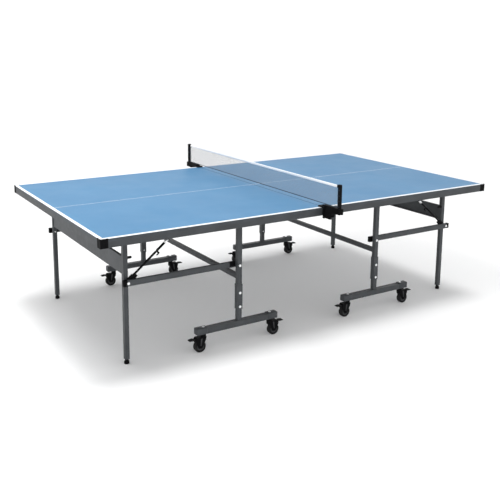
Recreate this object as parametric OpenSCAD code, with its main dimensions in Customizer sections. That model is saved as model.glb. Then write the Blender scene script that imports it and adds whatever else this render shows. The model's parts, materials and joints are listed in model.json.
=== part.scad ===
// Folding table-tennis table: two identical playing halves, each on its own
// wheeled trolley, with a clamp-on net set between them.
// Units are millimetres, Z is up, X runs along the length of the table and the
// net stands in the plane X = 0. The left half is drawn once; the right half is
// the same half turned 180 degrees about Z.

/* [Playing surface] */
// length of the whole table
table_l = 2740; // [2600:10:2800]
// width of the table
table_w = 1525; // [1450:5:1560]
// height of the playing surface above the floor
table_h = 760; // [740:1:780]
// thickness of the playing board
board_t = 18; // [15:1:22]
// gap between the two boards under the net
seam = 5; // [5:1:8]

/* [Apron and frame] */
// depth of the outer apron below the board
apron_d = 30; // [28:1:32]
// width of the apron's folded flanges
apron_w = 22; // [18:1:26]
// sheet thickness of the steel sections
sheet = 1.5; // [1.2:0.1:2]
// depth of the rails under the board and of the net-side apron
rail_d = 20; // [16:1:20]
// width of the rails under the board
rail_w = 24; // [20:1:26]
// length of each leg of the plastic corner caps
cap_l = 42; // [30:1:60]
// wall of the plastic corner caps
cap_t = 3; // [2:0.5:4]

/* [Folding linkage] */
// distance from the net to the pivot on which a half turns
pivot_x = 510; // [505:5:520]
// height of that pivot and of the leg hinge above the floor
pivot_z = 700; // [698:1:702]
// distance from the trolley pivot to the leg hinge, along the table
leg_reach = 660; // [650:2:670]
// height of the link bars above the floor
link_z = 462; // [458:1:466]
// radius of the pivot bolts
bolt_r = 4; // [3:0.5:4]
// clearance on the radius where a part turns on a bolt
play = 0.4; // [0.3:0.05:0.5]

/* [Legs] */
// distance of the leg centre lines from the middle of the table
leg_y = 580; // [578:1:580]
// side of the square leg tube
leg_s = 25; // [22:1:25]
// height of the adjustable foot below the leg tube
foot_h = 26; // [20:1:30]
// radius of the adjustable foot
foot_r = 14; // [10:1:18]
// bottom of the steel panel between the end legs
panel_z = 498; // [490:1:505]
// height of that panel
panel_h = 97; // [80:1:105]

/* [Trolley] */
// distance of the uprights from the middle of the table
upright_y = 650; // [650:1:655]
// size of the upright tube along the table
upright_x = 28; // [24:1:28]
// size of the upright tube across the table
upright_w = 25; // [22:1:25]
// length of the foot beams
beam_l = 530; // [480:10:560]
// how far the middle of the foot beams stands from the uprights, towards the end legs
beam_shift = 10; // [0:1:15]
// bottom of the foot beams above the floor
beam_z = 103; // [101:1:106]
// height of the foot beam tube
beam_h = 34; // [32:1:40]
// width of the foot beam tube
beam_w = 35; // [32:1:40]
// height of the tube that joins the two uprights
tie_z = 395; // [380:1:400]

/* [Links and struts] */
// height of the link bar tube
link_h = 32; // [30:1:34]
// width of the link bar tube
link_w = 18; // [16:1:18]
// distance of the link bars from the middle of the table
link_y = 617; // [617:1:618]
// distance of the lock struts from the middle of the table
strut_y = 600.5; // [600:0.5:600.5]
// radius of the lock strut rod
strut_r = 4.5; // [4:0.5:5]

/* [Casters] */
// radius of the caster wheels
wheel_r = 34; // [30:1:34]
// width of the caster wheels
wheel_w = 24; // [18:1:24]
// distance of the wheel axle behind the swivel axis
trail = 24; // [18:1:26]
// distance of the swivel axes from the pivot, towards the end legs
swivel_out = 230; // [215:1:235]
// distance of the swivel axes from the pivot, towards the net
swivel_in = 214; // [200:1:220]

/* [Net set] */
// height of the net above the board
net_h = 152.5; // [150:0.5:155]
// distance of the net posts from the middle of the table
post_y = 900; // [895:1:903]
// radius of the net posts
post_r = 12; // [9:0.5:13]
// bottom edge of the net above the board
net_gap = 22; // [10:1:30]
// height of the tape along the top of the net
tape_h = 15; // [12:0.5:16]

/* [View] */
// node to draw, or all of them

/* [Hidden] */
$fn = 48;

half_l = table_l / 2;
half_w = table_w / 2;
edge_x = seam / 2;
board_z = table_h - board_t;
apron_z = board_z - apron_d;
rail_z = board_z - rail_d;
leg_x = pivot_x + leg_reach;
hole_r = bolt_r + play;
fixed_r = bolt_r + 0.2;
plate_t = 3;
plate_gap = 1;
ear_r = 13;
leg_top = pivot_z + leg_s / 2;
beam_top = beam_z + beam_h;
sleeve_z = 204;
sleeve_h = 148;
link_over = 24;
link_l = leg_reach + 2 * link_over;
strut_end_x = 304;
strut_top_z = 712;
slot_in = 21;
weld_gap = 0.1;
wall = 2;
clearance = 0.5;
clamp_in = 766;
clamp_out = 918;
clamp_top = 778;
jaw_y = 779;
jaw_z = 705;
jaw_l = 54;
jaw_t = 8;
net_z = table_h + net_gap;
net_top = table_h + net_h;

steel = [0.27, 0.28, 0.30];
black = [0.08, 0.08, 0.09];
bright = [0.75, 0.76, 0.78];
blue = [0.42, 0.58, 0.76];

// ---- helpers ---------------------------------------------------------------

// turns a piece of the left half into the same piece of the right half
module turned() {
    rotate([0, 0, 180]) children();
}

// repeats a piece on the near and on the far side
module both_sides() {
    children();
    mirror([0, 1, 0]) children();
}

// box given by its low and high corners
module box(low, high) {
    translate(low) cube(high - low);
}

// cylinder along Y, centred on (x, z), from y0 to y1
module rod_y(x, z, y0, y1, r) {
    translate([x, y1, z]) rotate([90, 0, 0]) cylinder(r = r, h = y1 - y0);
}

// square tube along X: outer size sy by sz, open at both ends
module tube_x(x0, x1, y, z, sy, sz, t) {
    difference() {
        box([x0, y - sy / 2, z - sz / 2], [x1, y + sy / 2, z + sz / 2]);
        box([x0 - 1, y - sy / 2 + t, z - sz / 2 + t],
            [x1 + 1, y + sy / 2 - t, z + sz / 2 - t]);
    }
}

// folded C section along X on the +Y side, open towards the middle
module channel_x(x0, x1, y_out, z0, z1, w, t) {
    difference() {
        box([x0, y_out - w, z0], [x1, y_out, z1]);
        box([x0 - 1, y_out - w - 1, z0 + t], [x1 + 1, y_out - t, z1 - t]);
    }
}

// outline of the boards' plastic corner caps at the +Y outer corner
module cap_outline() {
    difference() {
        translate([-half_l, half_w - cap_l]) square([cap_l, cap_l]);
        translate([-half_l + cap_t, half_w - cap_l - 1]) square([cap_l, cap_l - cap_t + 1]);
    }
}

// ---- folding top -----------------------------------------------------------

module top_board() {
    color(blue) difference() {
        box([-half_l, -half_w, board_z], [-edge_x, half_w, table_h]);
        both_sides() translate([0, 0, board_z - 1]) linear_extrude(board_t + 2) cap_outline();
    }
}

module corner_caps() {
    color(black) both_sides() translate([0, 0, apron_z - 1])
        linear_extrude(table_h - apron_z + 1) cap_outline();
}

// one side of a pivot bracket: a plate that hangs under a cross rail
module ear(x, y0) {
    difference() {
        union() {
            box([x - ear_r, y0, pivot_z], [x + ear_r, y0 + plate_t, rail_z - weld_gap]);
            rod_y(x, pivot_z, y0, y0 + plate_t, ear_r);
        }
        rod_y(x, pivot_z, y0 - 1, y0 + plate_t + 1, fixed_r);
    }
}

// a pair of bracket plates around a tube of width w at (x, y)
module bracket(x, y, w) {
    ear(x, y - w / 2 - plate_gap - plate_t);
    ear(x, y + w / 2 + plate_gap);
}

// tube under the board along Y, from one side apron to the other
module cross_rail(x) {
    side = half_w - apron_w - weld_gap;
    difference() {
        box([x - rail_w / 2, -side, rail_z], [x + rail_w / 2, side, board_z]);
        box([x - rail_w / 2 + sheet, -side - 1, rail_z + sheet],
            [x + rail_w / 2 - sheet, side + 1, board_z - sheet]);
    }
}

// tube under the board along X, between two of the members that cross it
module long_rail(x0, x1) {
    tube_x(x0 + weld_gap, x1 - weld_gap, strut_y, board_z - rail_d / 2, rail_w, rail_d, sheet);
}

// the three lengths of long rail; a strut slides in the slot of the middle one
module long_rails() {
    long_rail(-half_l + apron_w, -leg_x - rail_w / 2);
    difference() {
        long_rail(-leg_x + rail_w / 2, -pivot_x - rail_w / 2);
        box([-leg_x + strut_end_x - 10, strut_y - 4, rail_z - 1],
            [-pivot_x - slot_in, strut_y + 4, rail_z + sheet + 1]);
    }
    long_rail(-pivot_x + rail_w / 2, -edge_x - apron_w);
}

// C sections across the two ends of a half, open towards each other
module end_aprons() {
    side = half_w - apron_w - weld_gap;
    difference() {
        box([-half_l, -side, apron_z], [-half_l + apron_w, side, board_z]);
        box([-half_l + sheet, -side - 1, apron_z + sheet],
            [-half_l + apron_w + 1, side + 1, board_z - sheet]);
        both_sides() translate([0, 0, apron_z - 1]) linear_extrude(apron_d + 1) cap_outline();
    }
    difference() {
        box([-edge_x - apron_w, -side, rail_z], [-edge_x, side, board_z]);
        box([-edge_x - apron_w - 1, -side - 1, rail_z + sheet],
            [-edge_x - sheet, side + 1, board_z - sheet]);
    }
}

// every section is its own solid, a hair apart where the real ones are welded
module top_frame() {
    color(steel) {
        end_aprons();
        cross_rail(-pivot_x);
        cross_rail(-leg_x);
        both_sides() {
            difference() {
                channel_x(-half_l, -edge_x, half_w, apron_z, board_z, apron_w, sheet);
                translate([0, 0, apron_z - 1]) linear_extrude(apron_d + 1) cap_outline();
            }
            long_rails();
            bracket(-pivot_x, upright_y, upright_w);
            bracket(-leg_x, leg_y, leg_s);
        }
    }
}

// bolt along Y on the +Y side: shank from y0 to y1 with a head beyond y1
module bolt(x, z, y0, y1, head = 3) {
    rod_y(x, z, y0, y1, bolt_r);
    rod_y(x, z, y1, y1 + head, bolt_r * 1.9);
}

module hinge_bolts() {
    pivot_in = upright_y - upright_w / 2 - plate_gap - plate_t;
    pivot_out = upright_y + upright_w / 2 + plate_gap + plate_t;
    leg_in = leg_y - leg_s / 2 - plate_gap - plate_t;
    leg_out = leg_y + leg_s / 2 + plate_gap + plate_t;
    color(bright) both_sides() {
        bolt(-pivot_x, pivot_z, pivot_in - 2.5, pivot_out);
        bolt(-leg_x, pivot_z, leg_in - 2.5, leg_out);
    }
}

// ---- end legs --------------------------------------------------------------

module leg_tube() {
    difference() {
        union() {
            box([-leg_x - leg_s / 2, leg_y - leg_s / 2, foot_h],
                [-leg_x + leg_s / 2, leg_y + leg_s / 2, pivot_z]);
            rod_y(-leg_x, pivot_z, leg_y - leg_s / 2, leg_y + leg_s / 2, leg_s / 2);
        }
        box([-leg_x - leg_s / 2 + sheet, leg_y - leg_s / 2 + sheet, foot_h + 8],
            [-leg_x + leg_s / 2 - sheet, leg_y + leg_s / 2 - sheet, pivot_z - 20]);
        translate([-leg_x, leg_y, foot_h - 1]) cylinder(r = bolt_r + play, h = 12);
        rod_y(-leg_x, pivot_z, leg_y - leg_s, leg_y + leg_s, hole_r);
        rod_y(-leg_x, link_z, leg_y - leg_s, leg_y + leg_s, fixed_r);
    }
}

module end_legs() {
    color(steel) both_sides() leg_tube();
}

// pressed panel between the end legs, with flanges turned towards the trolley
module end_panel() {
    side = leg_y - leg_s / 2;
    flange = 16;
    color(steel) difference() {
        box([-leg_x - 9, -side, panel_z], [-leg_x - 9 + flange, side, panel_z + panel_h]);
        box([-leg_x - 9 + sheet, -side + sheet, panel_z + sheet],
            [-leg_x - 8 + flange, side - sheet, panel_z + panel_h - sheet]);
    }
}

module leg_pins() {
    color(bright) both_sides()
        bolt(-leg_x, link_z, leg_y - leg_s / 2 - 2, link_y + link_w / 2 + 1);
}

module foot_pad() {
    color(black) translate([-leg_x, leg_y, 0]) {
        cylinder(r = foot_r, h = foot_h - 12);
        cylinder(r = foot_r * 0.7, h = foot_h - clearance);
        cylinder(r = bolt_r, h = foot_h + 40);
    }
}

// lock strut: from the leg pin up to the slot of the long rail
module lock_strut() {
    rise = strut_top_z - link_z;
    lean = atan2(strut_end_x, rise);
    reach = norm([strut_end_x, rise]);
    eye = strut_r + 0.4;
    color(black) translate([-leg_x, strut_y, link_z]) rotate([0, lean, 0]) difference() {
        union() {
            translate([0, 0, hole_r + 1]) cylinder(r = strut_r, h = reach - hole_r - 1);
            rod_y(0, 0, -eye, eye, hole_r + 4);
            rod_y(0, reach, -eye, eye, strut_r + 1.5);
            translate([0, 0, reach * 0.72]) cylinder(r = strut_r + 2, h = 56);
        }
        rod_y(0, 0, -eye - 1, eye + 1, hole_r);
    }
}

module lock_struts() {
    both_sides() lock_strut();
}

// ---- trolley ---------------------------------------------------------------

module link_bar() {
    x0 = -leg_x - link_over;
    difference() {
        tube_x(x0, x0 + link_l, link_y, link_z, link_w, link_h, sheet);
        for (x = [-leg_x, -pivot_x])
            rod_y(x, link_z, link_y - link_w, link_y + link_w, hole_r);
    }
}

module link_bars() {
    color(steel) both_sides() link_bar();
}

module upright() {
    difference() {
        union() {
            box([-pivot_x - upright_x / 2, upright_y - upright_w / 2, beam_top],
                [-pivot_x + upright_x / 2, upright_y + upright_w / 2, pivot_z]);
            rod_y(-pivot_x, pivot_z, upright_y - upright_w / 2, upright_y + upright_w / 2, upright_x / 2);
            box([-pivot_x - upright_x / 2 - 3, upright_y - upright_w / 2 - 3, sleeve_z],
                [-pivot_x + upright_x / 2 + 3, upright_y + upright_w / 2 + 3, sleeve_z + sleeve_h]);
        }
        box([-pivot_x - upright_x / 2 + wall, upright_y - upright_w / 2 + wall, beam_top - 1],
            [-pivot_x + upright_x / 2 - wall, upright_y + upright_w / 2 - wall, pivot_z - 20]);
        rod_y(-pivot_x, pivot_z, upright_y - upright_w, upright_y + upright_w, hole_r);
        for (z = [link_z, sleeve_z + 16, sleeve_z + sleeve_h - 50])
            rod_y(-pivot_x, z, upright_y - upright_w, upright_y + upright_w, fixed_r);
    }
}

module uprights() {
    color(steel) both_sides() upright();
}

module foot_beam() {
    mid = -pivot_x - beam_shift;
    difference() {
        tube_x(mid - beam_l / 2, mid + beam_l / 2, upright_y, beam_z + beam_h / 2, beam_w, beam_h, wall);
        for (x = [-pivot_x - swivel_out, -pivot_x + swivel_in])
            translate([x, upright_y, beam_z - 1]) cylinder(r = bolt_r + 1 + play, h = beam_h + 2);
    }
}

module foot_beams() {
    color(steel) both_sides() foot_beam();
}

module tie_tube() {
    side = upright_y - upright_w / 2;
    color(steel) difference() {
        box([-pivot_x - 12.5, -side, tie_z - 12.5], [-pivot_x + 12.5, side, tie_z + 12.5]);
        box([-pivot_x - 12.5 + sheet, -side - 1, tie_z - 12.5 + sheet],
            [-pivot_x + 12.5 - sheet, side + 1, tie_z + 12.5 - sheet]);
    }
}

module trolley_bolts() {
    out = upright_y + upright_w / 2;
    color(bright) both_sides() {
        bolt(-pivot_x, link_z, link_y - link_w / 2 - 3, out);
        for (z = [sleeve_z + 16, sleeve_z + sleeve_h - 50])
            bolt(-pivot_x, z, upright_y - upright_w / 2 - 5, out + 3);
        for (x = [-pivot_x - swivel_out, -pivot_x + swivel_in])
            translate([x, upright_y, beam_top]) cylinder(r = 8, h = 7);
    }
}

// ---- casters ---------------------------------------------------------------

// place a caster: side is +1 far, -1 near; out is -1 towards the end legs
module caster_at(n) {
    side = n < 3 ? -1 : 1;
    outward = n % 2 == 1;
    x = outward ? -pivot_x - swivel_out : -pivot_x + swivel_in;
    translate([x, side * upright_y, 0]) rotate([0, 0, outward ? 180 : 0]) children();
}

// cheek of the fork in the X-Z plane
module cheek(y0) {
    translate([0, y0 + plate_t, 0]) rotate([90, 0, 0]) linear_extrude(plate_t)
        polygon([[-12, 88], [46, 88], [54, 78], [54, 66], [34, 24], [14, 24], [-8, 70]]);
}

module caster_fork() {
    cheek_y = wheel_w / 2 + 2;
    color(black) {
        difference() {
            union() {
                cylinder(r = bolt_r + 1, h = beam_top - 4);
                cylinder(r = 16, h = beam_z - clearance);
            }
            translate([0, 0, -1]) cylinder(r = 40, h = 85);
        }
        box([-12, -cheek_y - plate_t, 84], [46, cheek_y + plate_t, 88]);
        cheek(cheek_y);
        cheek(-cheek_y - plate_t);
        rod_y(trail, wheel_r, -cheek_y - plate_t - 2, cheek_y + plate_t + 2, bolt_r);
        rod_y(44, 72, -cheek_y - plate_t, cheek_y + plate_t, 2.5);
    }
}

module caster_wheel() {
    color(black) difference() {
        rod_y(trail, wheel_r, -wheel_w / 2, wheel_w / 2, wheel_r);
        rod_y(trail, wheel_r, -wheel_w, wheel_w, hole_r);
        for (side = [-1, 1])
            translate([trail, side * wheel_w / 2, wheel_r]) rotate([90, 0, 0]) difference() {
                cylinder(r = wheel_r * 0.68, h = 6, center = true);
                cylinder(r = wheel_r * 0.3, h = 8, center = true);
            }
    }
}

module brake_pedal() {
    color(black) difference() {
        union() {
            box([20, -11, 70], [72, 11, 74]);
            box([60, -15, 70], [88, 15, 75]);
            rod_y(44, 72, -11, 11, 5);
        }
        rod_y(44, 72, -20, 20, 2.5 + play);
    }
}

// ---- net set ---------------------------------------------------------------

module posts() {
    color(black) both_sides() translate([0, post_y, clamp_top]) {
        cylinder(r = post_r, h = net_top - clamp_top);
        cylinder(r = post_r + 2, h = 3);
    }
}

// side view of the clamp's body on the +Y side, as (y, z) points
module clamp_outline() {
    low = jaw_z + jaw_t / 2 + 2;
    polygon([
        [clamp_in, low + 12], [clamp_in + 10, low], [clamp_in + 72, low], [clamp_in + 82, low + 32],
        [clamp_out, low + 34], [clamp_out, clamp_top], [clamp_in, clamp_top]
    ]);
}

// a (y, z) outline made into a solid from x0 to x1
module slab_x(x0, x1) {
    translate([x0, 0, 0]) rotate([90, 0, 90]) linear_extrude(x1 - x0) children();
}

// cylinder along X through (y, z)
module rod_x(x0, x1, y, z, r) {
    translate([x0, y, z]) rotate([0, 90, 0]) cylinder(r = r, h = x1 - x0);
}

// clamp body with its upper jaw, and the two cheeks that hold the lower jaw's pin
module clamp() {
    slab_x(-14, 14) clamp_outline();
    box([-22, clamp_in - 34, table_h + clearance], [22, clamp_in + 20, table_h + 9]);
    box([-17, clamp_in, table_h + clearance], [17, clamp_in + 26, clamp_top]);
    for (x = [-17, 13])
        box([x, jaw_y - 8, jaw_z - 6], [x + 4, jaw_y + 8, clamp_top - 20]);
    rod_x(-17, 17, jaw_y, jaw_z, 2.5);
}

module clamps() {
    color(black) both_sides() clamp();
}

// lower jaw, turned outwards under the body, clear of the table
module jaw() {
    color(black) difference() {
        union() {
            box([-11, jaw_y, jaw_z - jaw_t / 2], [11, jaw_y + jaw_l, jaw_z + jaw_t / 2]);
            rod_x(-11, 11, jaw_y, jaw_z, 5);
        }
        rod_x(-12, 12, jaw_y, jaw_z, 2.5 + play);
    }
}

module net_sheet() {
    end = post_y - post_r - 1;
    color("white") box([-0.75, -end, net_z], [0.75, end, net_top - tape_h]);
}

module tape() {
    end = post_y - post_r - 1;
    color("white") box([-2.5, -end, net_top - tape_h], [2.5, end, net_top]);
}

// ---- nodes -----------------------------------------------------------------

module left_top() { top_board(); }
module left_frame() { top_frame(); }
module left_corner_caps() { corner_caps(); }
module left_hinge_bolts() { hinge_bolts(); }
module left_legs() { end_legs(); }
module left_leg_panel() { end_panel(); }
module left_leg_bolts() { leg_pins(); }
module left_struts() { lock_struts(); }
module left_links() { link_bars(); }
module left_uprights() { uprights(); }
module left_foot_beams() { foot_beams(); }
module left_tie_tube() { tie_tube(); }
module left_trolley_bolts() { trolley_bolts(); }
module left_foot_near() { mirror([0, 1, 0]) foot_pad(); }
module left_foot_far() { foot_pad(); }
module left_fork_1() { caster_at(1) caster_fork(); }
module left_fork_2() { caster_at(2) caster_fork(); }
module left_fork_3() { caster_at(3) caster_fork(); }
module left_fork_4() { caster_at(4) caster_fork(); }
module left_wheel_1() { caster_at(1) caster_wheel(); }
module left_wheel_2() { caster_at(2) caster_wheel(); }
module left_wheel_3() { caster_at(3) caster_wheel(); }
module left_wheel_4() { caster_at(4) caster_wheel(); }
module left_pedal_1() { caster_at(1) brake_pedal(); }
module left_pedal_2() { caster_at(2) brake_pedal(); }
module left_pedal_3() { caster_at(3) brake_pedal(); }
module left_pedal_4() { caster_at(4) brake_pedal(); }
module right_top() { turned() top_board(); }
module right_frame() { turned() top_frame(); }
module right_corner_caps() { turned() corner_caps(); }
module right_hinge_bolts() { turned() hinge_bolts(); }
module right_legs() { turned() end_legs(); }
module right_leg_panel() { turned() end_panel(); }
module right_leg_bolts() { turned() leg_pins(); }
module right_struts() { turned() lock_struts(); }
module right_links() { turned() link_bars(); }
module right_uprights() { turned() uprights(); }
module right_foot_beams() { turned() foot_beams(); }
module right_tie_tube() { turned() tie_tube(); }
module right_trolley_bolts() { turned() trolley_bolts(); }
module right_foot_near() { turned() foot_pad(); }
module right_foot_far() { turned() mirror([0, 1, 0]) foot_pad(); }
module right_fork_1() { turned() caster_at(1) caster_fork(); }
module right_fork_2() { turned() caster_at(2) caster_fork(); }
module right_fork_3() { turned() caster_at(3) caster_fork(); }
module right_fork_4() { turned() caster_at(4) caster_fork(); }
module right_wheel_1() { turned() caster_at(1) caster_wheel(); }
module right_wheel_2() { turned() caster_at(2) caster_wheel(); }
module right_wheel_3() { turned() caster_at(3) caster_wheel(); }
module right_wheel_4() { turned() caster_at(4) caster_wheel(); }
module right_pedal_1() { turned() caster_at(1) brake_pedal(); }
module right_pedal_2() { turned() caster_at(2) brake_pedal(); }
module right_pedal_3() { turned() caster_at(3) brake_pedal(); }
module right_pedal_4() { turned() caster_at(4) brake_pedal(); }
module net_posts() { posts(); }
module net_clamps() { clamps(); }
module net() { net_sheet(); }
module net_tape() { tape(); }
module jaw_near() { mirror([0, 1, 0]) jaw(); }
module jaw_far() { jaw(); }

left_top();
left_frame();
left_corner_caps();
left_hinge_bolts();
left_legs();
left_leg_panel();
left_leg_bolts();
left_struts();
left_links();
left_uprights();
left_foot_beams();
left_tie_tube();
left_trolley_bolts();
left_foot_near();
left_foot_far();
left_fork_1();
left_fork_2();
left_fork_3();
left_fork_4();
left_wheel_1();
left_wheel_2();
left_wheel_3();
left_wheel_4();
left_pedal_1();
left_pedal_2();
left_pedal_3();
left_pedal_4();
right_top();
right_frame();
right_corner_caps();
right_hinge_bolts();
right_legs();
right_leg_panel();
right_leg_bolts();
right_struts();
right_links();
right_uprights();
right_foot_beams();
right_tie_tube();
right_trolley_bolts();
right_foot_near();
right_foot_far();
right_fork_1();
right_fork_2();
right_fork_3();
right_fork_4();
right_wheel_1();
right_wheel_2();
right_wheel_3();
right_wheel_4();
right_pedal_1();
right_pedal_2();
right_pedal_3();
right_pedal_4();
net_posts();
net_clamps();
net();
net_tape();
jaw_near();
jaw_far();
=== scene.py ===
"""Looks of a folding table-tennis table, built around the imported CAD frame."""

import json
import math

import bmesh
import bpy
from mathutils import Matrix, Vector


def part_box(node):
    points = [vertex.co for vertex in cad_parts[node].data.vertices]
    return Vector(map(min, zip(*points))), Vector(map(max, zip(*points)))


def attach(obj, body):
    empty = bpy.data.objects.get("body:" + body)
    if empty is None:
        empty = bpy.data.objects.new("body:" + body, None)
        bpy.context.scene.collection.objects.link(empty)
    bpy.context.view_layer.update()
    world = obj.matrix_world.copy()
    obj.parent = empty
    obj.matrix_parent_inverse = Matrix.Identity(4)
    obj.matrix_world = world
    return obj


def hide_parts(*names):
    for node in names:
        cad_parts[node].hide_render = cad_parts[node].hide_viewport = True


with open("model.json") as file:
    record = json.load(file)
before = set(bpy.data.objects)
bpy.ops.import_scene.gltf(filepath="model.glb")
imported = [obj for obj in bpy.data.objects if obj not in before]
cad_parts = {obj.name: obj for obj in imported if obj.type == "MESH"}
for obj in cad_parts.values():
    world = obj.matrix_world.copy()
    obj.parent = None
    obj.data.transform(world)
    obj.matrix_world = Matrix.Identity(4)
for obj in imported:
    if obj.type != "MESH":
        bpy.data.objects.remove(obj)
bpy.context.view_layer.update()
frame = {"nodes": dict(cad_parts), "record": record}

NODES = frame["nodes"]
HALVES = ("left", "right")

# ---- sizes shared by several pieces, in metres ------------------------------

LINE_EDGE = 0.020        # white line along the edges of the board
LINE_MIDDLE = 0.003      # white line along the middle of the board
NET_CELL = 0.0085        # size of a mesh of the net
STRAND = 0.0009          # width of a strand of the net
STRAND_T = 0.0008        # thickness of an upright strand of the net
TUCK = 0.002             # how far the upright strands go up inside the tape
TAPE_SAG = 0.0016        # how far the tape hangs down in the middle
CORD_R = 0.0022          # radius of the cord along the foot of the net
LINK_W = 0.018           # width of a link bar
BEAM_W = 0.035           # width of a foot beam
LEG_S = 0.025            # side of a leg tube
STRUT_Y = 0.6005         # distance of a lock strut from the middle
STRUT_R = 0.0045         # radius of a lock strut's rod
RAIL_D = 0.020           # depth of the rails under the board
POST_RING = 0.002        # how far the ring at a net post's foot stands out


def centre(node):
    """Middle of a CAD node's box."""
    low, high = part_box(node)
    return (low + high) / 2


TOP_LOW, TOP_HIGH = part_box("left_top")
HALF_L, HALF_W, TABLE_Z = -TOP_LOW.x, TOP_HIGH.y, TOP_HIGH.z

# ---- node material helpers --------------------------------------------------


MAP_RANGE_KEYS = ("From Min", "From Max", "To Min", "To Max")


class Shader:
    """A small builder for one Principled material."""

    def __init__(self, name, colour, roughness, metallic=0.0):
        self.mat = bpy.data.materials.new(name)
        self.mat.use_nodes = True
        self.tree = self.mat.node_tree
        self.bsdf = self.tree.nodes["Principled BSDF"]
        self.bsdf.inputs["Base Color"].default_value = (*colour, 1.0)
        self.bsdf.inputs["Roughness"].default_value = roughness
        self.bsdf.inputs["Metallic"].default_value = metallic
        self.coords = self.node("ShaderNodeTexCoord").outputs["Object"]

    def node(self, kind, **settings):
        made = self.tree.nodes.new(kind)
        for key, value in settings.items():
            setattr(made, key, value)
        return made

    def link(self, a, b):
        self.tree.links.new(a, b)

    def set(self, name, value):
        self.bsdf.inputs[name].default_value = value

    def noise(self, scale, detail=3.0, stretch=None):
        """Noise in the piece's own metres; stretch squeezes it along an axis."""
        noise = self.node("ShaderNodeTexNoise")
        noise.inputs["Scale"].default_value = scale
        noise.inputs["Detail"].default_value = detail
        source = self.coords
        if stretch:
            mapping = self.node("ShaderNodeMapping")
            mapping.inputs["Scale"].default_value = stretch
            self.link(source, mapping.inputs["Vector"])
            source = mapping.outputs["Vector"]
        self.link(source, noise.inputs["Vector"])
        return noise.outputs["Fac"]

    def ramp(self, value, stops):
        """Colours over a 0..1 value: stops are (place, colour)."""
        ramp = self.node("ShaderNodeValToRGB")
        elements = ramp.color_ramp.elements
        while len(elements) < len(stops):
            elements.new(0.5)
        for element, (place, colour) in zip(elements, stops):
            element.position = place
            element.color = (*colour, 1.0)
        self.link(value, ramp.inputs["Fac"])
        return ramp.outputs["Color"]

    def remap(self, value, low, high, start=0.0, end=1.0):
        """Maps value from start..end to low..high."""
        made = self.node("ShaderNodeMapRange")
        for key, number in zip(MAP_RANGE_KEYS, (start, end, low, high)):
            made.inputs[key].default_value = number
        self.link(value, made.inputs["Value"])
        return made.outputs["Result"]

    def math(self, operation, a, b=0.0):
        """A math node over two numbers or sockets."""
        made = self.node("ShaderNodeMath", operation=operation)
        for socket, value in zip(made.inputs, (a, b)):
            if isinstance(value, (int, float)):
                socket.default_value = value
            else:
                self.link(value, socket)
        return made.outputs[0]

    def mix(self, factor, a, b):
        """Colour a where factor is 0 and b where it is 1."""
        made = self.node("ShaderNodeMix", data_type="RGBA")
        self.link(factor, made.inputs["Factor"])
        for socket, value in ((made.inputs["A"], a), (made.inputs["B"], b)):
            if isinstance(value, tuple):
                socket.default_value = (*value, 1.0)
            else:
                self.link(value, socket)
        return made.outputs["Result"]

    def axes(self):
        """The x, y and z coordinates of the shaded point."""
        split = self.node("ShaderNodeSeparateXYZ")
        self.link(self.coords, split.inputs["Vector"])
        return split.outputs

    def bump(self, height, distance, strength=0.5):
        """Relief of the surface; distance is its depth in metres."""
        made = self.node("ShaderNodeBump")
        made.inputs["Distance"].default_value = distance
        made.inputs["Strength"].default_value = strength
        self.link(height, made.inputs["Height"])
        self.link(made.outputs["Normal"], self.bsdf.inputs["Normal"])


def scaled(colour, k):
    """The same colour, k times as bright."""
    return tuple(c * k for c in colour)


def powder_coat(name, colour, roughness=0.5, shine=0.3):
    """Fine orange-peel powder coat with faint handling marks."""
    s = Shader(name, colour, roughness)
    mottled = s.ramp(s.noise(9.0), [(0.3, scaled(colour, 0.86)), (0.7, scaled(colour, 1.14))])
    s.link(mottled, s.bsdf.inputs["Base Color"])
    wear = s.remap(s.noise(35.0), roughness - 0.07, roughness + 0.10)
    s.link(wear, s.bsdf.inputs["Roughness"])
    s.bump(s.noise(900.0, 2.0), 0.00025, 0.35)
    s.set("Specular IOR Level", shine)
    return s.mat


def moulded_plastic(name, colour, roughness=0.6, shine=0.12):
    """Spark-eroded moulded plastic: matte with a fine grain."""
    s = Shader(name, colour, roughness)
    s.set("Specular IOR Level", shine)
    tint = s.ramp(s.noise(14.0), [(0.3, scaled(colour, 0.8)), (0.7, scaled(colour, 1.25))])
    s.link(tint, s.bsdf.inputs["Base Color"])
    wear = s.remap(s.noise(60.0), roughness - 0.08, roughness + 0.12)
    s.link(wear, s.bsdf.inputs["Roughness"])
    s.bump(s.noise(1600.0, 2.0), 0.0002, 0.4)
    return s.mat


def plated_steel(name, colour):
    """Zinc-plated steel, lightly brushed."""
    s = Shader(name, colour, 0.28, 1.0)
    s.link(s.remap(s.noise(220.0, 4.0), 0.18, 0.42), s.bsdf.inputs["Roughness"])
    tint = s.ramp(s.noise(70.0), [(0.3, scaled(colour, 0.82)), (0.7, colour)])
    s.link(tint, s.bsdf.inputs["Base Color"])
    s.bump(s.noise(1400.0, 2.0), 0.0001, 0.3)
    return s.mat


def tyre_rubber(name, colour):
    """Dusty solid rubber."""
    s = Shader(name, colour, 0.75)
    s.set("Specular IOR Level", 0.15)
    dusty = s.ramp(s.noise(45.0, 5.0), [(0.35, colour), (0.75, scaled(colour, 2.2))])
    s.link(dusty, s.bsdf.inputs["Base Color"])
    s.bump(s.noise(700.0), 0.0003, 0.5)
    return s.mat


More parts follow.
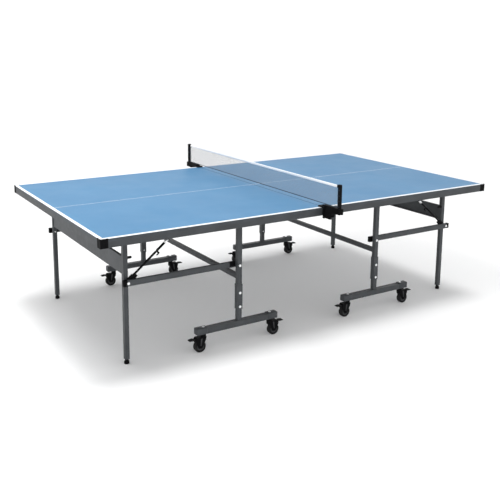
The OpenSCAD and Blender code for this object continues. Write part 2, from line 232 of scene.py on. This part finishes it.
def woven(name, colour, threads):
    """Plain weave: two sets of threads at right angles, along Y and Z, with painted shade in its
    lower cells.
    """
    s = Shader(name, colour, 0.85)
    _, y, z = s.axes()
    pitch = 2 * math.pi * threads
    across = s.math("SINE", s.math("MULTIPLY", y, pitch))
    along = s.math("SINE", s.math("MULTIPLY", z, pitch))
    weave = s.math("MULTIPLY", across, along)
    level = s.remap(weave, 0.0, 1.0, -1.0, 1.0)
    # The lower cells of the weave are painted darker: painted shade in the weave's hollows.
    weave_hollow_shade = s.ramp(level, [(0.2, scaled(colour, 0.8)), (0.8, colour)])
    s.link(weave_hollow_shade, s.bsdf.inputs["Base Color"])
    s.bump(weave, 0.0003, 0.6)
    s.set("Sheen Weight", 0.15)
    return s.mat


PAINT_OVER = 0.0012      # how far the top's paint comes down over the board's edge
SEAM_FACE = 0.004        # faces nearer the net than this are painted like the top


def playing_board(name):
    """Satin blue lacquer with white lines on top, dark painted edges and underside."""
    blue, deep = (0.052, 0.190, 0.355), (0.045, 0.172, 0.328)
    white, dark = (0.80, 0.82, 0.85), (0.050, 0.056, 0.063)
    s = Shader(name, blue, 0.5)
    s.set("Specular IOR Level", 0.2)
    x, y, z = s.axes()
    side, end = s.math("ABSOLUTE", y), s.math("ABSOLUTE", x)
    lines = s.math("GREATER_THAN", side, HALF_W - LINE_EDGE)
    lines = s.math("MAXIMUM", lines, s.math("GREATER_THAN", end, HALF_L - LINE_EDGE))
    lines = s.math("MAXIMUM", lines, s.math("LESS_THAN", side, LINE_MIDDLE / 2))
    lacquer = s.ramp(s.noise(2.2, 4.0), [(0.3, deep), (0.7, blue)])
    chalk = s.ramp(s.noise(40.0), [(0.3, scaled(white, 0.93)), (0.7, white)])
    painted = s.mix(lines, lacquer, chalk)
    on_top = s.math("GREATER_THAN", z, TABLE_Z - PAINT_OVER)
    on_top = s.math("MAXIMUM", on_top, s.math("LESS_THAN", end, SEAM_FACE))
    edge = s.ramp(s.noise(18.0), [(0.3, scaled(dark, 0.85)), (0.7, scaled(dark, 1.15))])
    s.link(s.mix(on_top, edge, painted), s.bsdf.inputs["Base Color"])
    s.link(s.remap(s.noise(6.0, 6.0), 0.44, 0.58), s.bsdf.inputs["Roughness"])
    s.bump(s.noise(420.0, 3.0), 0.0002, 0.25)
    return s.mat


STEEL = (0.040, 0.044, 0.048)
BLACK = (0.0025, 0.0025, 0.003)
MATERIALS = {
    "blue_board": playing_board("blue_board"),
    "dark_steel": powder_coat("dark_steel", STEEL),
    "black_plastic": moulded_plastic("black_plastic", BLACK, 0.6, 0.06),
    "black_steel": powder_coat("black_steel", BLACK, 0.5, 0.08),
    "bright_steel": plated_steel("bright_steel", (0.86, 0.87, 0.88)),
    "tyre_rubber": tyre_rubber("tyre_rubber", (0.006, 0.006, 0.006)),
    "net_mesh": woven("net_mesh", (0.20, 0.21, 0.23), 900.0),
    "white_tape": woven("white_tape", (0.86, 0.87, 0.89), 420.0),
}
END_CAP = moulded_plastic("end_cap", STEEL, 0.5, 0.25)
HUB_PLASTIC = moulded_plastic("hub_plastic", (0.030, 0.031, 0.033), 0.45, 0.3)
RUBBER_PAD = tyre_rubber("rubber_pad", (0.008, 0.008, 0.008))
GREY_PLASTIC = moulded_plastic("grey_plastic", (0.040, 0.043, 0.047), 0.5, 0.25)
CORD_FABRIC = woven("cord_fabric", (0.008, 0.020, 0.045), 700.0)
SLOT_OF = {s["node"]: s["material_slot"] for s in frame["record"]["subparts"]}

for name, node in NODES.items():
    node.data.materials.clear()
    node.data.materials.append(MATERIALS[SLOT_OF[name]])

# ---- mesh helpers -----------------------------------------------------------


def piece(name, bm, body, slot, material=None, smooth=True):
    """Makes an object of a bmesh, with its material, and hangs it on a body."""
    bmesh.ops.recalc_face_normals(bm, faces=bm.faces)
    mesh = bpy.data.meshes.new(name)
    bm.to_mesh(mesh)
    bm.free()
    for polygon in mesh.polygons:
        polygon.use_smooth = smooth
    made = bpy.data.objects.new(name, mesh)
    bpy.context.scene.collection.objects.link(made)
    mesh.materials.append(material or MATERIALS[slot])
    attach(made, body)
    return made


def add_block(bm, low, high, round_by=0.0, place=None, segments=2):
    """Adds a box with rounded edges, its corners in any order, put by a matrix."""
    low, high = ([pick(a, b) for a, b in zip(low, high)] for pick in (min, max))
    made = bmesh.ops.create_cube(bm, size=1.0)["verts"]
    for v in made:
        v.co = Vector(l + (h - l) * (c + 0.5) for l, h, c in zip(low, high, v.co))
        if place:
            v.co = place @ v.co
    if round_by:
        edges = list({e for v in made for e in v.link_edges})
        bmesh.ops.bevel(bm, geom=edges, offset=round_by, segments=segments, profile=0.5,
                        affect="EDGES")


def add_lathe(bm, profile, place, segments=48):
    """Adds a solid of revolution: profile is (radius, height) points, place a matrix."""
    rings = []
    for radius, height in profile:
        if radius < 1e-6:
            rings.append([bm.verts.new(place @ Vector((0, 0, height)))])
            continue
        ring = []
        for i in range(segments):
            a = 2 * math.pi * i / segments
            point = Vector((radius * math.cos(a), radius * math.sin(a), height))
            ring.append(bm.verts.new(place @ point))
        rings.append(ring)
    for low, high in zip(rings, rings[1:]):
        for i in range(segments):
            j = (i + 1) % segments
            if len(low) == 1:
                bm.faces.new((low[0], high[i], high[j]))
            elif len(high) == 1:
                bm.faces.new((low[i], low[j], high[0]))
            else:
                bm.faces.new((low[i], low[j], high[j], high[i]))


def add_tube(bm, points, radius, sides=8):
    """Adds a round bar that follows a line of points."""
    rings = []
    across = (points[1] - points[0]).normalized().orthogonal()
    for i, p in enumerate(points):
        a, b = points[max(i - 1, 0)], points[min(i + 1, len(points) - 1)]
        ahead = (b - a).normalized()
        across = (across - ahead * across.dot(ahead)).normalized()
        other = ahead.cross(across)
        rings.append([bm.verts.new(p + radius * (math.cos(t) * across + math.sin(t) * other))
                      for t in (2 * math.pi * k / sides for k in range(sides))])
    for low, high in zip(rings, rings[1:]):
        for k in range(sides):
            j = (k + 1) % sides
            bm.faces.new((low[k], low[j], high[j], high[k]))
    bm.faces.new(rings[0])
    bm.faces.new(rings[-1])


def add_prism(bm, outline, y0, y1, place):
    """Adds an outline of (x, z) points, made solid from y0 to y1."""
    near, far = ([bm.verts.new(place @ Vector((x, y, z))) for x, z in outline]
                 for y in (y0, y1))
    bm.faces.new(near)
    bm.faces.new(far)
    for i in range(len(outline)):
        j = (i + 1) % len(outline)
        bm.faces.new((near[i], near[j], far[j], far[i]))


def along(axis, at):
    """Matrix that stands the local Z axis along a world direction, at a point."""
    return Matrix.Translation(at) @ Vector(axis).to_track_quat("Z", "Y").to_matrix().to_4x4()


HALF_TURN = {"left": Matrix.Identity(4), "right": Matrix.Rotation(math.pi, 4, "Z")}


def half_piece(half, name, bm, body, slot, material=None, smooth=True):
    """A piece drawn on the left half, made for one of the halves."""
    bm.transform(HALF_TURN[half])
    return piece(f"{half}_{name}", bm, f"{half}_{body}", slot, material, smooth)


def soften(node, width, segments=2):
    """Rounds a CAD node's sharp edges with a bevel modifier."""
    bevel = NODES[node].modifiers.new("edges", "BEVEL")
    bevel.width = width
    bevel.segments = segments
    bevel.limit_method = "ANGLE"
    bevel.angle_limit = math.radians(50)
    bevel.harden_normals = True


# ---- net --------------------------------------------------------------------


def net_strands():
    """Square-mesh net of flat crossing strands between the posts."""
    low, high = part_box("net")
    columns = round((high.y - low.y) / NET_CELL)
    rows = round((high.z - low.z) / NET_CELL)
    bm = bmesh.new()
    w, t = STRAND / 2, STRAND_T / 2
    for i in range(columns + 1):
        y = low.y + w + (high.y - low.y - 2 * w) * i / columns
        add_block(bm, (-t, y - w, low.z), (t, y + w, high.z + TUCK))
    for j in range(rows + 1):
        z = low.z + w + (high.z - low.z - 2 * w) * j / rows
        add_block(bm, (-t * 1.4, low.y, z - w), (t * 1.4, high.y, z + w))
    made = piece("net_strands", bm, "net_set", "net_mesh", smooth=False)
    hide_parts("net")


def net_trim():
    """Top tape, folded over the net and sagging a little, and the cord along the foot."""
    low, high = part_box("net_tape")
    bm = bmesh.new()
    steps, half = 60, (high.x - low.x) / 2
    fold = ((-1, 0), (-1, 0.72), (-0.7, 0.93), (0, 1), (0.7, 0.93), (1, 0.72), (1, 0))
    profile = [(half * k, up) for k, up in fold]
    rings = []
    for i in range(steps + 1):
        y = low.y + (high.y - low.y) * i / steps
        sag = TAPE_SAG * (1 - (2 * i / steps - 1) ** 2)
        rings.append([bm.verts.new((x, y, low.z + (high.z - low.z) * k - sag))
                      for x, k in profile])
    for a, b in zip(rings, rings[1:]):
        for k in range(len(profile)):
            j = (k + 1) % len(profile)
            bm.faces.new((a[k], a[j], b[j], b[k]))
    bm.faces.new(rings[0])
    bm.faces.new(rings[-1])
    tape = piece("net_top_tape", bm, "net_set", "white_tape")
    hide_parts("net_tape")

    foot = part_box("net")[0].z
    bm = bmesh.new()
    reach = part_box("net_posts")[1].y - 0.02
    line = [Vector((0.0, y, foot)) for y in (-reach + 2 * reach * i / 40 for i in range(41))]
    add_tube(bm, line, CORD_R)
    piece("net_foot_cord", bm, "net_set", "net_mesh", CORD_FABRIC)


net_strands()
net_trim()

# ---- net posts and clamps ---------------------------------------------------


TIE_HEIGHTS = (0.790, 0.822, 0.854, 0.886)   # of the loops that tie the net to a post


def post_trim():
    """Domed caps on the posts, clips for the tape's ends and ties for the net."""
    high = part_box("net_posts")[1]
    post_y = high.y - high.x - POST_RING
    r = high.x - POST_RING
    cap = [(r, 0), (r + 0.0015, 0), (r + 0.0015, 0.006), (r - 0.001, 0.009), (0, 0.0105)]
    loop = [(r, -0.0016), (r + 0.0016, -0.001), (r + 0.0016, 0.001), (r, 0.0016)]
    bm, ties = bmesh.new(), bmesh.new()
    for side in (-1, 1):
        add_lathe(bm, cap, Matrix.Translation((0, side * post_y, high.z - 0.006)))
        add_block(bm, (-0.0042, side * (post_y - 0.021), high.z - 0.0160),
                  (0.0042, side * (post_y - r + 0.002), high.z + 0.0008), 0.0012)
        for z in TIE_HEIGHTS:
            add_lathe(ties, loop, Matrix.Translation((0, side * post_y, z)))
            add_block(ties, (-0.001, side * (post_y - r - 0.006), z - 0.001),
                      (0.001, side * (post_y - r), z + 0.001))
    piece("net_post_caps", bm, "net_set", "black_plastic")
    piece("net_ties", ties, "net_set", "net_mesh", CORD_FABRIC)


RIVETS_Y = (0.792, 0.812, 0.832)             # of the discs on a clamp's cheeks
RIVET = [(0.0052, 0), (0.0052, 0.0016), (0.0030, 0.0030), (0, 0.0030)]


def clamp_trim():
    """Grip ribs and discs, the lever under each clamp body, and its soft pad."""
    low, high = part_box("net_clamps")
    bm, pads, levers = bmesh.new(), bmesh.new(), bmesh.new()
    for side in (-1, 1):
        for face in (-1, 1):
            for i in range(5):
                y = high.y - 0.016 - 0.011 * i
                add_block(bm, (face * 0.0138, side * y, high.z - 0.028),
                          (face * 0.0156, side * (y - 0.005), high.z - 0.006), 0.0007)
            for y in RIVETS_Y:
                place = along((face, 0, 0), (face * 0.0138, side * y, low.z + 0.030))
                add_lathe(bm, RIVET, place, 24)
        add_block(levers, (-0.010, side * 0.800, 0.7160), (0.010, side * 0.852, 0.7085), 0.002)
        add_block(pads, (-0.020, side * 0.735, TABLE_Z + 0.0002),
                  (0.020, side * 0.760, TABLE_Z + 0.0007))
    piece("clamp_ribs", bm, "net_set", "black_plastic")
    piece("clamp_levers", levers, "net_set", "black_plastic", GREY_PLASTIC)
    piece("clamp_pads", pads, "net_set", "tyre_rubber")


post_trim()
clamp_trim()

# ---- legs, links and struts -------------------------------------------------


CAP_WALL = 0.0008        # wall of the sleeves over a link bar's ends


def link_caps(half):
    """Black sleeves over the ends of the link bars, the longer one at the upright."""
    low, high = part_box("left_links")
    bm = bmesh.new()
    for side in (-1, 1):
        inner, outer = side * (high.y - LINK_W - CAP_WALL), side * (high.y + CAP_WALL)
        for x0, x1 in ((low.x - 0.003, low.x + 0.020), (high.x - 0.070, high.x + 0.003)):
            add_block(bm, (x0, inner, low.z - CAP_WALL), (x1, outer, high.z + CAP_WALL), 0.002)
    half_piece(half, "link_caps", bm, "link_pair", "black_plastic")


BUFFER_Z = 0.588         # height of the rubber buffers on the legs
BUFFER = [(0.0095, 0), (0.0095, 0.003), (0.0075, 0.005), (0.0075, 0.020), (0.0060, 0.026),
          (0, 0.027)]


def leg_buffers(half):
    """Rubber buffers on the legs, towards the trolley."""
    foot = centre("left_foot_far")
    bm = bmesh.new()
    for side in (-1, 1):
        place = along((1, 0, 0), (foot.x + LEG_S / 2, side * foot.y, BUFFER_Z))
        add_lathe(bm, BUFFER, place, 32)
    half_piece(half, "leg_buffers", bm, "leg_frame", "tyre_rubber")


# places along a strut, as shares of the distance from its pin to its tip
STRUT_TUBES = ((0.110, 0.560, 0.0060), (0.580, 0.728, 0.0067))   # start, end and radius
LEVER_AT, COLLAR_AT = 0.565, 0.728
HEEL = [(-0.010, -0.009), (0.030, -0.009), (0.062, 0.028), (0.046, 0.044), (0.0, 0.012)]
COLLAR = [(STRUT_R, 0), (0.0069, 0.001), (0.0069, 0.027), (STRUT_R, 0.028)]


def strut_trim(half):
    """Heels, sliding tubes, release levers and bright collars of the lock struts."""
    pin = Vector((centre("left_foot_far").x, STRUT_Y, centre("left_links").z))
    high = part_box("left_struts")[1]
    tip = Vector((high.x - 0.006, 0, high.z - 0.006))
    lean = math.atan2(tip.x - pin.x, tip.z - pin.z)
    reach = math.hypot(tip.x - pin.x, tip.z - pin.z)
    lever = reach * LEVER_AT
    black, bright = bmesh.new(), bmesh.new()
    for side in (-1, 1):
        upright = Matrix.Translation((pin.x, side * pin.y, pin.z))
        place = upright @ Matrix.Rotation(lean, 4, "Y")
        add_block(black, (-0.0110, -0.0050, -0.004), (0.0110, 0.0050, 0.050), 0.002, place)
        add_prism(black, HEEL, -0.0048, 0.0048, upright)
        for start, end, r in STRUT_TUBES:
            tube = [(STRUT_R, start * reach), (r, start * reach + 0.002),
                    (r, end * reach - 0.002), (STRUT_R, end * reach)]
            add_lathe(black, tube, place, 24)
        add_block(black, (0.003, -0.0035, lever), (0.022, 0.0035, lever + 0.010), 0.0015, place)
        add_block(black, (0.016, -0.0035, lever - 0.012), (0.022, 0.0035, lever + 0.004),
                  0.0015, place)
        add_lathe(bright, COLLAR, place @ Matrix.Translation((0, 0, reach * COLLAR_AT)), 32)
    half_piece(half, "strut_ends", black, "strut_pair", "black_steel")
    half_piece(half, "strut_collars", bright, "strut_pair", "bright_steel")


# ---- trolleys and casters ---------------------------------------------------


def beam_caps(half):
    """Moulded housings over the ends of the foot beams."""
    low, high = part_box("left_foot_beams")
    mid = high.y - BEAM_W / 2
    bm = bmesh.new()
    for side in (-1, 1):
        for x0, x1 in ((low.x - 0.004, low.x + 0.064), (high.x - 0.064, high.x + 0.004)):
            add_block(bm, (x0, side * mid - BEAM_W / 2 - 0.0022, low.z + 0.0005),
                      (x1, side * mid + BEAM_W / 2 + 0.0022, high.z + 0.0045), 0.004, segments=3)
    half_piece(half, "beam_caps", bm, "trolley", "dark_steel", END_CAP)


# side views, as (distance from the swivel axis, height) points
PEDAL_ARM = [(0.036, 0.0680), (0.046, 0.0775), (0.062, 0.0815), (0.066, 0.0760),
             (0.052, 0.0700), (0.041, 0.0665)]
PEDAL_TREAD = [(0.060, 0.0812), (0.066, 0.0826), (0.088, 0.0800), (0.093, 0.0775),
               (0.088, 0.0765), (0.062, 0.0762)]
# raised ribs on the fork's cheeks, made in lighter plastic than the fork: painted highlight
# lines along the cheeks
FORK_HIGHLIGHT_RIB = [(0.0130, 0.0820), (0.0230, 0.0820), (0.0262, 0.0400), (0.0218, 0.0400)]
NUT = [(0.0068, 0), (0.0068, 0.0028), (0.0045, 0.0042), (0, 0.0042)]
STEM_R = 0.016           # radius of a fork's swivel stem
CHEEK_GAP = 0.005        # from the wheel's side to the outside of the fork's cheek
SPOKES, GRIPS = 5, 4     # spokes of a hub, grip bars of a pedal


def caster_trim(half, number):
    """Hub discs, axle nuts, fork ribs in lighter plastic as painted highlights on the fork's
    cheeks, front shield and the brake pedal of one caster.
    """
    wheel, out = centre(f"left_wheel_{number}"), -1 if number % 2 else 1
    low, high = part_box(f"left_fork_{number}")
    swivel = high.x - STEM_R if out < 0 else low.x + STEM_R
    wheel_low, wheel_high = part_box(f"left_wheel_{number}")
    half_w = (wheel_high.y - wheel_low.y) / 2
    rim, cheek = half_w - 0.0005, half_w + CHEEK_GAP
    disc = [(0.0228, rim - 0.002), (0.0218, rim), (0.0190, rim), (0.0165, rim - 0.002),
            (0.0108, rim - 0.002)]
    hub, shell, ribs, pad = (bmesh.new() for _ in range(4))
    for side in (-1, 1):
        place = along((0, side, 0), wheel)
        add_lathe(hub, disc, place, 40)
        for i in range(SPOKES):
            turn = place @ Matrix.Rotation(2 * math.pi * i / SPOKES, 4, "Z")
            add_block(hub, (0.0105, -0.0016, rim - 0.0022), (0.0205, 0.0016, rim - 0.0002),
                      0.0003, turn)
        add_lathe(shell, NUT, along((0, side, 0), (wheel.x, wheel.y + side * cheek, wheel.z)), 6)
    add_block(shell, (swivel - out * 0.012, wheel.y - 0.0138, 0.0660),
              (swivel - out * 0.0095, wheel.y + 0.0138, 0.0845), 0.0006)
    turned = Matrix.Rotation(0 if out > 0 else math.pi, 4, "Z")
    facing = Matrix.Translation((swivel, wheel.y, 0)) @ turned
    for side in (-1, 1):
        add_prism(ribs, FORK_HIGHLIGHT_RIB, side * cheek, side * (cheek + 0.0014), facing)
    add_prism(pad, PEDAL_ARM, -0.0085, 0.0085, facing)
    add_prism(pad, PEDAL_TREAD, -0.0140, 0.0140, facing)
    for i in range(GRIPS):
        x, drop = 0.0685 + 0.0052 * i, 0.0006 * i
        add_block(pad, (x, -0.0125, 0.0790 - drop), (x + 0.0026, 0.0125, 0.0832 - drop),
                  0.0005, facing)
    half_piece(half, f"hub_{number}", hub, f"roller_{number}", "tyre_rubber", HUB_PLASTIC)
    half_piece(half, f"axle_nuts_{number}", shell, f"caster_{number}", "black_plastic")
    # The ribs get the lighter hub plastic: painted highlights on the black fork cheeks.
    half_piece(half, f"fork_ribs_{number}", ribs, f"caster_{number}", "black_plastic",
               HUB_PLASTIC, smooth=False)
    made = half_piece(half, f"brake_lever_{number}", pad, f"brake_{number}", "black_plastic",
                      RUBBER_PAD, smooth=False)
    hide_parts(f"{half}_pedal_{number}")


# ---- underside --------------------------------------------------------------


LONG_RAIL_X = (-1.30, -1.12, -1.00, -0.91, -0.42, -0.25, -0.08)
SIDE_APRON_X = (-1.20, -0.95, -0.70, -0.35, -0.10)
CROSS_RAIL_Y = (0.12, 0.38)
END_APRON_Y = (0.10, 0.36, 0.62)
FLANGE_MID = 0.011       # from an apron's outside to the middle of its flange
NET_APRON_X = -0.014     # middle of the flange of the apron by the net
SCREW_HEAD = [(0.0042, 0), (0.0042, 0.0008), (0.0028, 0.0019), (0, 0.0021)]


def frame_screws(half):
    """Pan-head screws that hold the rails and aprons to the board."""
    low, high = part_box("left_frame")
    rail = high.z - RAIL_D
    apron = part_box("left_corner_caps")[0].z + 0.001
    spots = [(x, STRUT_Y, rail) for x in LONG_RAIL_X]
    spots += [(centre("left_tie_tube").x, y, rail) for y in CROSS_RAIL_Y]
    spots += [(centre("left_foot_far").x, y, rail) for y in CROSS_RAIL_Y]
    spots += [(low.x + FLANGE_MID, y, apron) for y in END_APRON_Y]
    spots += [(NET_APRON_X, y, rail) for y in END_APRON_Y]
    spots += [(x, high.y - FLANGE_MID, apron) for x in SIDE_APRON_X]
    bm = bmesh.new()
    for x, y, z in spots:
        for side in (-1, 1):
            add_lathe(bm, SCREW_HEAD, along((0, 0, -1), (x, side * y, z)), 20)
    half_piece(half, "frame_screws", bm, "half", "black_steel")


# widths of the bevels on the CAD pieces, in metres
HALF_BEVELS = {"legs": 0.0006, "links": 0.0006, "uprights": 0.0008, "foot_beams": 0.0008,
               "corner_caps": 0.0010, "hinge_bolts": 0.0006, "leg_bolts": 0.0006,
               "trolley_bolts": 0.0008, "foot_near": 0.0012, "foot_far": 0.0012}
NET_BEVELS = {"net_clamps": 0.0016, "jaw_near": 0.0012, "jaw_far": 0.0012}
CASTERS = range(1, 5)

for half in HALVES:
    link_caps(half)
    leg_buffers(half)
    strut_trim(half)
    beam_caps(half)
    frame_screws(half)
    for number in CASTERS:
        caster_trim(half, number)
        soften(f"{half}_wheel_{number}", 0.0026, 3)
        soften(f"{half}_fork_{number}", 0.0009)
    for name, width in HALF_BEVELS.items():
        soften(f"{half}_{name}", width)
for name, width in NET_BEVELS.items():
    soften(name, width)

# ---- camera, light and floor ------------------------------------------------

PHOTO_SIDE = 500.0       # side of the photograph, in pixels
FOCAL_PX = 741.9         # focal length, in the same pixels
CAMERA_AT = Vector((-2.625, -4.064, 1.743))
AZIMUTH, ELEVATION, ROLL = (math.radians(v) for v in (-31.96, 10.77, 0.42))
AXIS_OFFSET_PX = (-8.3, -75.0)           # of the lens axis from the picture's middle
SIDE_LIGHT, TOP_LIGHT = 1.9, 0.40        # strength of the sky near the horizon and overhead
SKY_FADE = (0.36, 0.62)                  # heights between which the sky fades
SUN_STRENGTH, SUN_ANGLE = 1.12, math.radians(18)
SUN_TILT = (math.radians(-3.5), math.radians(6), 0)
KEY_AT, KEY_AIM = (-1.5, -0.2, 3.6), (-1.3, 0, 0.7)
KEY_SIZE, KEY_POWER = 2.0, 58.0
FLOOR_SIZE = 40.0


def make_camera():
    """The photograph's camera, with the shift of its lens."""
    data = bpy.data.cameras.new("camera")
    data.sensor_width = 36.0
    data.lens = FOCAL_PX / PHOTO_SIDE * data.sensor_width
    data.shift_x = -AXIS_OFFSET_PX[0] / PHOTO_SIDE
    data.shift_y = AXIS_OFFSET_PX[1] / PHOTO_SIDE
    camera = bpy.data.objects.new("camera", data)
    bpy.context.scene.collection.objects.link(camera)
    forward = Vector((-math.sin(AZIMUTH) * math.cos(ELEVATION),
                      math.cos(AZIMUTH) * math.cos(ELEVATION), -math.sin(ELEVATION)))
    right = forward.cross(Vector((0, 0, 1))).normalized()
    up = right.cross(forward)
    c, s = math.cos(ROLL), math.sin(ROLL)
    right, up = c * right + s * up, c * up - s * right
    turn = Matrix((right, up, -forward)).transposed().to_4x4()
    camera.matrix_world = Matrix.Translation(CAMERA_AT) @ turn
    bpy.context.scene.camera = camera


def key_light():
    """A soft disc above the left half, which makes that end of the board brighter."""
    data = bpy.data.lights.new("key", "AREA")
    data.shape, data.size, data.energy = "DISK", KEY_SIZE, KEY_POWER
    light = bpy.data.objects.new("key", data)
    bpy.context.scene.collection.objects.link(light)
    light.location = KEY_AT
    light.rotation_mode = "QUATERNION"
    light.rotation_quaternion = (Vector(KEY_AIM) - Vector(KEY_AT)).to_track_quat("-Z", "Y")


def overhead_light():
    """A wide soft source almost straight above, which gives the shadow its soft edge."""
    data = bpy.data.lights.new("overhead", "SUN")
    data.energy, data.angle = SUN_STRENGTH, SUN_ANGLE
    light = bpy.data.objects.new("overhead", data)
    bpy.context.scene.collection.objects.link(light)
    light.rotation_euler = SUN_TILT


def make_floor():
    """A plain pale floor, a little uneven in tone."""
    bm = bmesh.new()
    bmesh.ops.create_grid(bm, x_segments=2, y_segments=2, size=FLOOR_SIZE)
    mesh = bpy.data.meshes.new("floor")
    bm.to_mesh(mesh)
    bm.free()
    floor = bpy.data.objects.new("floor", mesh)
    bpy.context.scene.collection.objects.link(floor)
    s = Shader("floor_paint", (0.93, 0.93, 0.93), 0.95)
    s.set("Specular IOR Level", 0.1)
    tones = s.ramp(s.noise(0.6), [(0.3, (0.925, 0.93, 0.935)), (0.7, (0.94, 0.94, 0.94))])
    s.link(tones, s.bsdf.inputs["Base Color"])
    mesh.materials.append(s.mat)


def make_world():
    """A white studio, bright near the horizon and dimmer overhead."""
    world = bpy.data.worlds.new("studio")
    world.use_nodes = True
    tree = world.node_tree
    background = tree.nodes["Background"]
    background.inputs["Color"].default_value = (1.0, 1.0, 1.0, 1.0)
    split = tree.nodes.new("ShaderNodeSeparateXYZ")
    direction = tree.nodes.new("ShaderNodeTexCoord").outputs["Generated"]
    tree.links.new(direction, split.inputs["Vector"])
    fade = tree.nodes.new("ShaderNodeMapRange")
    for key, number in zip(MAP_RANGE_KEYS, (*SKY_FADE, SIDE_LIGHT, TOP_LIGHT)):
        fade.inputs[key].default_value = number
    tree.links.new(split.outputs["Z"], fade.inputs["Value"])
    tree.links.new(fade.outputs["Result"], background.inputs["Strength"])
    bpy.context.scene.world = world
    bpy.context.scene.view_settings.view_transform = "Standard"


make_camera()
make_floor()
make_world()
overhead_light()
key_light()
